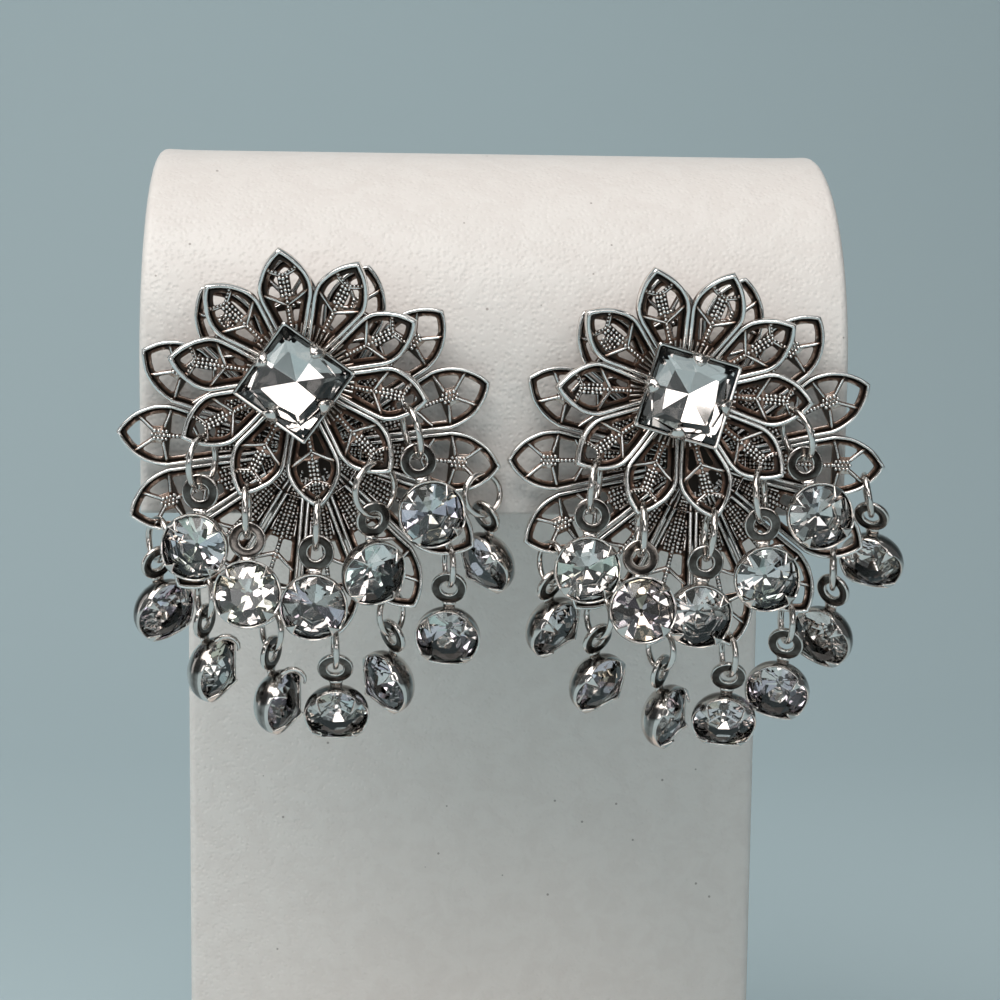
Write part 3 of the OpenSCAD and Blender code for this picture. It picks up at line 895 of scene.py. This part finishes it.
def hookMesh(centre):
    # a prong that was bent up and over to the right of its cup
    path = [(-0.35, 2.1, 0.5), (-0.2, 2.65, 0.8), (0.2, 3.15, 1.0), (0.8, 3.5, 1.1), (1.45, 3.55, 1.15),
            (2.0, 3.3, 1.2), (2.35, 2.85, 1.2), (2.42, 2.4, 1.15), (2.3, 2.1, 1.1)]
    radii = [0.34, 0.34, 0.32, 0.30, 0.27, 0.24, 0.20, 0.16, 0.1]
    return tube("hook", [tuple(centre + Vector(p)) for p in path], radii, 10)


def roundStone(seed):
    # table, kite and girdle facets, and a foiled pavilion of eight flat wedges, so the girdle is scalloped
    k = cutLook
    radius = dropLook["stoneR"]
    tableR, midR = k["tableShare"] * radius, k["midShare"] * radius
    slope = (k["table"] - k["girdle"]) / (radius - tableR)
    midH = k["table"] - slope * (midR * cos(22.5) - tableR)
    scallop = k["depth"] * (1 / cos(22.5) - 1)
    points = []

    def ring(r, heights, count, first):
        for i in range(count):
            a = first + 360 / count * i
            points.append((r * cos(a), r * sin(a), heights[i % len(heights)]))

    ring(tableR, [k["table"]], 8, 22.5)          # 0-7
    ring(midR, [midH], 8, 45)                    # 8-15, between table corners i and i + 1
    ring(radius, [k["girdle"]], 16, 22.5)        # 16-31
    ring(radius, [0.0, scallop], 16, 22.5)       # 32-47
    points.append((0, 0, -k["depth"]))           # 48
    faces = [tuple(range(8))]
    for i in range(8):
        star, g, after = 8 + i, 16 + 2 * i, 16 + (2 * i + 2) % 16
        faces += [(i, (i + 1) % 8, star), (i, star, g, 8 + (i - 1) % 8), (star, g, g + 1), (star, g + 1, after),
                  (48, after + 16, g + 17, g + 16)]
    faces += [(16 + i, 16 + (i + 1) % 16, 32 + (i + 1) % 16, 32 + i) for i in range(16)]
    return stoneMesh(points, faces, [0] + [0, 0, 0, 0, 1] * 8 + [0] * 16, seed, 1.0)


def stoneMesh(points, faces, slots, seed, spread):
    # slot 0 is glass and slot 1 foil; each facet draws a painted glint tint for its foil
    draw = random.Random(seed)
    mesh = meshFrom("stone", points, faces)
    mesh.polygons.foreach_set("material_index", slots)
    outward(mesh)
    tint = mesh.attributes.new("tint", "FLOAT", "FACE")
    tint.data.foreach_set("value", [draw.random() ** 0.8 * spread for _ in mesh.polygons])
    mesh.update()
    return mesh


def ringMesh(row):
    # open jump ring in the XY plane, with its cut near the top
    r = (dropLook["ringD"][row] - dropLook["wire"]) / 2
    path = [(r * cos(62 + 357 * i / 60), r * sin(62 + 357 * i / 60), 0.03 * cos(3 * i)) for i in range(61)]
    return tube("jumpRing", path, [dropLook["wireShown"] / 2] * len(path), 12)


def moved(mesh, place):
    copy = mesh.copy()
    copy.transform(place)
    return copy


def makeDrops(side):
    plain, curled = cupMesh((1, 1, 1, 1)), cupMesh((0, 1, 1, 1))
    for row in ("front", "back"):
        rings, cups, stones = [], [], []
        ring = ringMesh(row)
        for i, d in enumerate(dropRows[side][row]):
            centre, loop = ringPlace(side, row, d)
            rings.append(moved(ring, turned(centre, (d[5], "Z"), (d[2] + 90, "Y"))))
            hang = turned(loop, (d[4], "X"), (d[5], "Z"), (d[3], "Y"))
            cups.append(moved(curled if (side, row, i) in hooked else plain, hang))
            if (side, row, i) in hooked:
                cups.append(hookMesh(hang @ Vector((0, -dropLook["loopToCup"], dropLook["cupForward"]))))
            gem = roundStone(10 * i + (row == "back") + 5 * (side == "left"))
            seat = Vector((0, -dropLook["loopToCup"], dropLook["cupForward"] - dropLook["stoneDrop"]))
            gem.transform(hang @ turned(seat, (22.5 * ((i * 7) % 5) / 5, "Z")))
            stones.append(gem)
        name = side + "_" + row + "_"
        place = lipSpace(side)
        numbers = [str(i + 1) for i in range(len(rings))]
        cupNodes = [name + "cup_" + number for number in numbers] if row == "front" else []
        settle(name + "rings", joined("rings", rings, brightSilver), place, "bright_silver")
        settle(name + "cups", joined("cups", cups, brightSilver), place, "bright_silver", *cupNodes)
        settle(name + "stones", joined("stones", stones, glass, foil), place, "crystal",
               *[name + "stone_" + number for number in numbers])


for side in sides:
    makeDrops(side)
print("drops made")

squareLook = {
    "side": 7.6,
    "wall": 0.3,
    "height": 3.6,
    "base": 4.2,
    "table": 2.75,
    "crown": 1.25,
    "girdle": 0.2,
    "tray": 0.85,            # depth of the foil's rim; it leans down to the right and is deeper at the sides
    "trayLean": 0.09,
    "trayFold": 0.28,
    "culet": (0.2, -0.1, -1.75),
    # share of the painted glint tones that the square stones use
    "tintSpread": 0.6,
    "forward": 5.14,
    "corner": 0.12,
    "prongLean": 40,
    "prongThick": 0.34,
    "seed": {"left": 3, "right": 8},
    "off": {"left": (-0.4, -0.25), "right": (0.0, 0.0)},   # the real one sits a little off the middle
}


def squareStone(seed):
    # table, two rows of crown facets and a girdle over a shallow foiled tray
    k = squareLook
    h = k["side"] / 2
    girdle = (h, h * math.sqrt(2))
    # reach at a side's middle and at a corner, and height
    levels = [((k["table"] * 0.90, k["table"] * 1.12), k["crown"] + k["girdle"]),
              ((h * 0.90, h * 1.08), k["girdle"] + k["crown"] * 0.42), (girdle, k["girdle"]), (girdle, 0.0)]
    points = [(reach[i % 2] * cos(45 * i), reach[i % 2] * sin(45 * i), height)
              for reach, height in levels for i in range(8)]
    for i, (x, y, _) in enumerate(points[24:]):
        depth = k["tray"] + k["trayLean"] * (x + y) + (k["trayFold"] if i % 2 == 0 else 0.0)
        points.append((x * 0.98, y * 0.98, -depth))
    points.append(k["culet"])
    faces = [tuple(range(8))]
    for top in (0, 8):
        for i in range(8):
            a, b = top + i, top + (i + 1) % 8
            c, d = a + 8, b + 8
            faces += [(a, c, d), (a, d, b)] if (i % 2 == 0) == (top == 0) else [(a, c, b), (c, d, b)]
    faces += [(16 + i, 24 + i, 24 + (i + 1) % 8, 16 + (i + 1) % 8) for i in range(8)]
    slots = [0] * len(faces) + [1] * 16
    for i in range(8):
        n = (i + 1) % 8
        faces += [(24 + i, 32 + i, 32 + n, 24 + n), (32 + i, 40, 32 + n)]
    return stoneMesh(points, faces, slots, seed, k["tintSpread"])


def clawMesh(turn):
    # pointed tongue that leans over the stone, with softened edges
    k = squareLook
    inner = k["side"] / 2 + play
    lean = k["prongLean"]
    points = []
    # across, and along its lean
    for y, along in ((-0.85, 0.0), (-0.82, 0.4), (-0.55, 0.95), (-0.16, 1.5), (0.16, 1.5), (0.55, 0.95),
                     (0.82, 0.4), (0.85, 0.0)):
        thick = k["prongThick"] + 0.12 * (1 - (y / 0.85) ** 2)
        r = inner + 0.05 - along * sin(lean)
        h = k["height"] + 0.3 + along * cos(lean)
        points += [(r + thick * cos(lean), y, h + thick * sin(lean)), (r, y, h)]
    for r, h in ((inner + k["wall"] + 0.1, k["height"] - 1.1), (inner, k["height"] - 1.0)):
        points += [(r, -0.7, h), (r, 0.7, h)]
    faces = [tuple(range(0, 16, 2)), tuple(range(15, 0, -2)), (0, 14, 17, 16), (1, 18, 19, 15), (0, 16, 18, 1),
             (14, 15, 19, 17), (16, 17, 19, 18)]
    faces += [(i, i + 1, i + 3, i + 2) for i in range(0, 14, 2)]
    claw = meshFrom("claw", points, faces)
    outward(claw)
    bm = bmesh.new()
    bm.from_mesh(claw)
    bmesh.ops.bevel(bm, geom=list(bm.edges), offset=0.05, segments=2, affect="EDGES", clamp_overlap=True)
    bm.to_mesh(claw)
    bm.free()
    claw.transform(Matrix.Rotation(math.radians(turn), 4, "Z"))
    claw.shade_smooth()
    return claw


def squareSetting():
    # thin square box that widens towards the stone, with a bright rim and four claws
    k = squareLook
    low, high = k["base"] / 2, k["height"]
    inner = k["side"] / 2 + play
    outer = inner + k["wall"]
    # reach, height, polish
    # painted shade: the polish falls towards the base and down the inside, where the box lies in shade under
    # the stone; the rim stays bright
    loops = [(low, 0.0, 0.1), (outer - 0.06, high - 0.35, 0.5), (outer, high - 0.1, 0.9),
             (outer - 0.05, high + 0.06, 1.0), (outer - 0.15, high + 0.12, 1.0), (inner, high + 0.05, 0.8),
             (inner - 0.04, high - 0.3, 0.2), (low - k["wall"], 0.35, 0.0)]
    points, values = [], []
    for reach, height, value in loops:
        for sx, sy in ((1, 1), (-1, 1), (-1, -1), (1, -1)):
            pair = [(sx * reach, sy * (reach - k["corner"])), (sx * (reach - k["corner"]), sy * reach)]
            points += [(x, y, height) for x, y in (pair if sx * sy > 0 else pair[::-1])]
        values += [value] * 8
    box = meshFrom("settingBox", points, stacked(len(loops), 8), values)
    outward(box)
    return joined("squareSetting", [box] + [clawMesh(turn) for turn in (0, 90, 180, 270)], brightSilver)


for side in sides:
    centre = flowerCentre(side, "front") + Vector((*squareLook["off"][side], 0))
    centre.z = squareLook["forward"]
    place = lipSpace(side) @ turned(centre, (places[side]["stoneTurn"] + 45, "Z"))
    settle(side + "_square_setting", squareSetting(), place, "bright_silver")
    stone = squareStone(squareLook["seed"][side])
    stone.transform(Matrix.Translation((0, 0, squareLook["height"])))
    settle(side + "_square_stone", joined("squareStone", [stone], glass, foil), place, "crystal")
print("square stones made")

standLook = {
    "width": 71.0,
    "height": 130.0,
    "thickness": 2.6,
    "rollR": 23.0,
    "rollFlat": 3.0,
    "lipDrop": 37.0,
    "heelR": 9.0,
    "footReach": 12.0,
    "edgeR": 0.9,
    "crispEdge": 0.4,
    "endShare": 0.7,         # thickness that is left at both ends
    "pad": 0.12,             # the covering swells along both edges
    "padWidth": 2.2,
}


def makeStand():
    k = standLook
    t = k["thickness"]
    rollZ = k["height"] - k["rollR"]
    lipZ = k["height"] - k["lipDrop"]
    mid = k["rollR"] - t / 2
    flat = k["rollFlat"] / 2
    back = -lipY
    crisp = k["crispEdge"]
    path = []      # y, z and the angle of the way ahead, from the lip's lower edge to the foot's front
    ways = [crisp * i / 4 for i in range(4)] + [crisp + (rollZ - lipZ - crisp) * i / 15 for i in range(15)]
    path += [(lipY + t / 2, lipZ + up, 90) for up in ways]
    for y, first in ((-flat, 180), (flat, 90)):
        for a in (first - 90 * i / 36 for i in range(37)):
            path.append((y + mid * cos(a), rollZ + mid * sin(a), a - 90))
    for i in range(1, 60):
        path.append((back - t / 2, rollZ + (k["heelR"] - rollZ) * i / 60, -90))
    heel = k["heelR"] - t / 2
    start = back - k["heelR"]
    for a in (-90 * i / 16 for i in range(17)):
        path.append((start + heel * cos(a), k["heelR"] + heel * sin(a), a - 90))
    reach = start - lipY + k["footReach"]
    ways = [(reach - crisp) * i / 40 for i in range(1, 41)] + [reach - crisp * i / 4 for i in (3, 2, 1, 0)]
    path += [(start - along, t / 2, 180) for along in ways]
    lengths = [0.0]
    for (y0, z0, _), (y1, z1, _) in zip(path, path[1:]):
        lengths.append(lengths[-1] + math.hypot(y1 - y0, z1 - z0))

    # the strip's section: its outer face, one rounded edge, and the same turned half round
    half, r = k["width"] / 2, k["edgeR"]
    section = [((half - r) * (i / 18 - 1), t / 2) for i in range(37)]
    for i in range(1, 8):
        a = 90 - 22.5 * i
        rise = (i < 4) - (i > 4)
        section.append((half - r + r * cos(a), (t / 2 - r) * rise + r * sin(a)))
    section += [(-x, -n) for x, n in section]
    points = []
    for (y, z, a), length in zip(path, lengths):
        fromEnd = min(1.0, min(length, lengths[-1] - length) / crisp)
        thin = k["endShare"] + (1 - k["endShare"]) * math.sqrt(max(0.0, 1 - (1 - fromEnd) ** 2))
        for x, n in section:
            pad = k["pad"] * math.exp(-((half - abs(x)) / k["padWidth"]) ** 2) * n / (t / 2)
            points.append((x, y - sin(a) * (n + pad) * thin, z + cos(a) * (n + pad) * thin))
    mesh = meshFrom("stand", points, stacked(len(path), len(section)))
    outward(mesh)
    smooth(mesh, 50)
    mesh.materials.append(leather)
    settle("stand", mesh, Matrix.Scale(mm, 4), "leatherette")


makeStand()
for side in sides:
    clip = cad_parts[side + "_clip"]
    clip.data.materials.clear()
    clip.data.materials.append(brightSilver)
print("stand and clips made")

warm = (1.0, 0.98, 0.96)
white = (1, 1, 1)
studio = {
    "floor": (0.51, 0.63, 0.67),
    "world": (0.32, 0.35, 0.36),
    "worldStrength": 0.24,
    "target": (0, -0.02, 0.09),
    # place, width and height, power, colour, and the kinds of ray that don't see it: the panels only draw
    # bright lines on metal and stones, and the cool one isn't mirrored in them
    "lights": {
        "keyLight": ((-0.28, -0.33, 0.74), (0.76, 0.50), 5.25, (1.0, 0.965, 0.93), ()),
        "sideLight": ((0.30, -0.56, 0.42), (0.26, 0.26), 0.42, warm, ()),
        "frontLight": ((0.04, -0.80, 0.54), (0.34, 0.20), 0.46, warm, ()),
        "frontPanel": ((-0.10, -0.80, 0.16), (0.34, 0.10), 0.30, white, ("diffuse",)),
        "topLight": ((0.05, -0.10, 0.70), (0.6, 0.3), 0.4, white, ()),
        "rimLight": ((-0.5, 0.05, 0.2), (0.12, 0.5), 0.2, white, ()),
        "leftPanel": ((-0.44, -0.56, 0.17), (0.10, 0.24), 0.17, white, ("diffuse",)),
        "rightPanel": ((0.44, -0.56, 0.14), (0.10, 0.20), 0.13, white, ("diffuse",)),
        "coolFill": ((-0.1, -0.55, 0.06), (0.7, 0.12), 0.10, (0.25, 0.85, 1.0), ("glossy", "transmission")),
    },
}
stageLook = {"front": 1.2, "back": 0.25, "bend": 0.35, "height": 2.0, "side": 2.0, "under": 0.0002}
cameraLook = {
    "place": (-10.58, -223.7, 117.7),
    "pitch": 6.63,
    "yaw": 3.16,
    "roll": 0.63,
    "lens": 72,
}


def makeStage():
    # floor that curves up into a wall far behind, a hair under the stand's foot
    k = stageLook
    depth = [(-k["front"], 0.0)]
    for i in range(13):
        a = 90 * i / 12
        depth.append((k["back"] + k["bend"] * sin(a), k["bend"] * (1 - cos(a))))
    depth.append((k["back"] + k["bend"], k["height"]))
    points = [(x, y, z - k["under"]) for y, z in depth for x in (-k["side"], k["side"])]
    faces = [(2 * i, 2 * i + 1, 2 * i + 3, 2 * i + 2) for i in range(len(depth) - 1)]
    mesh = meshFrom("floor", points, faces)
    mesh.shade_smooth()
    f = Finish("floorPaint", {"Roughness": 0.8, "Specular IOR Level": 0.2})
    tone = f.between(f.noise(400.0, 2.0), 0.3, 0.7)
    base = studio["floor"]
    f.set("Base Color", f.blend(tone, tuple(c * 0.985 for c in base), base))
    newObject("floor", mesh, f.material)


def makeStudio():
    scene = bpy.context.scene
    for name, (place, size, power, colour, unseen) in studio["lights"].items():
        lamp = bpy.data.lights.new(name, "AREA")
        lamp.shape = "RECTANGLE"
        lamp.size, lamp.size_y = size
        lamp.energy = power
        lamp.color = colour
        piece = bpy.data.objects.new(name, lamp)
        scene.collection.objects.link(piece)
        piece.location = place
        toTarget = Vector(studio["target"]) - Vector(place)
        piece.rotation_euler = toTarget.to_track_quat("-Z", "Y").to_euler()
        for kind in unseen:
            setattr(piece, "visible_" + kind, False)
    world = bpy.data.worlds.new("studio")
    world.use_nodes = True
    background = world.node_tree.nodes["Background"]
    background.inputs["Color"].default_value = (*studio["world"], 1)
    background.inputs["Strength"].default_value = studio["worldStrength"]
    scene.world = world
    scene.view_settings.view_transform = "Standard"
    scene.view_settings.exposure = 0.0


def makeCamera():
    k = cameraLook
    ahead = Vector((sin(k["yaw"]) * cos(k["pitch"]), cos(k["yaw"]) * cos(k["pitch"]), -sin(k["pitch"])))
    level = Vector((cos(k["yaw"]), -sin(k["yaw"]), 0))
    upright = level.cross(ahead)
    right = level * cos(k["roll"]) + upright * sin(k["roll"])
    up = upright * cos(k["roll"]) - level * sin(k["roll"])
    data = bpy.data.cameras.new("camera")
    data.lens = k["lens"]
    data.sensor_width = 36
    data.clip_start = 0.01
    camera = bpy.data.objects.new("camera", data)
    bpy.context.scene.collection.objects.link(camera)
    turn = Matrix((right, up, -ahead)).transposed().to_4x4()
    camera.matrix_world = Matrix.Translation(Vector(k["place"]) * mm) @ turn
    bpy.context.scene.camera = camera


makeStage()
makeStudio()
makeCamera()
print("studio made")
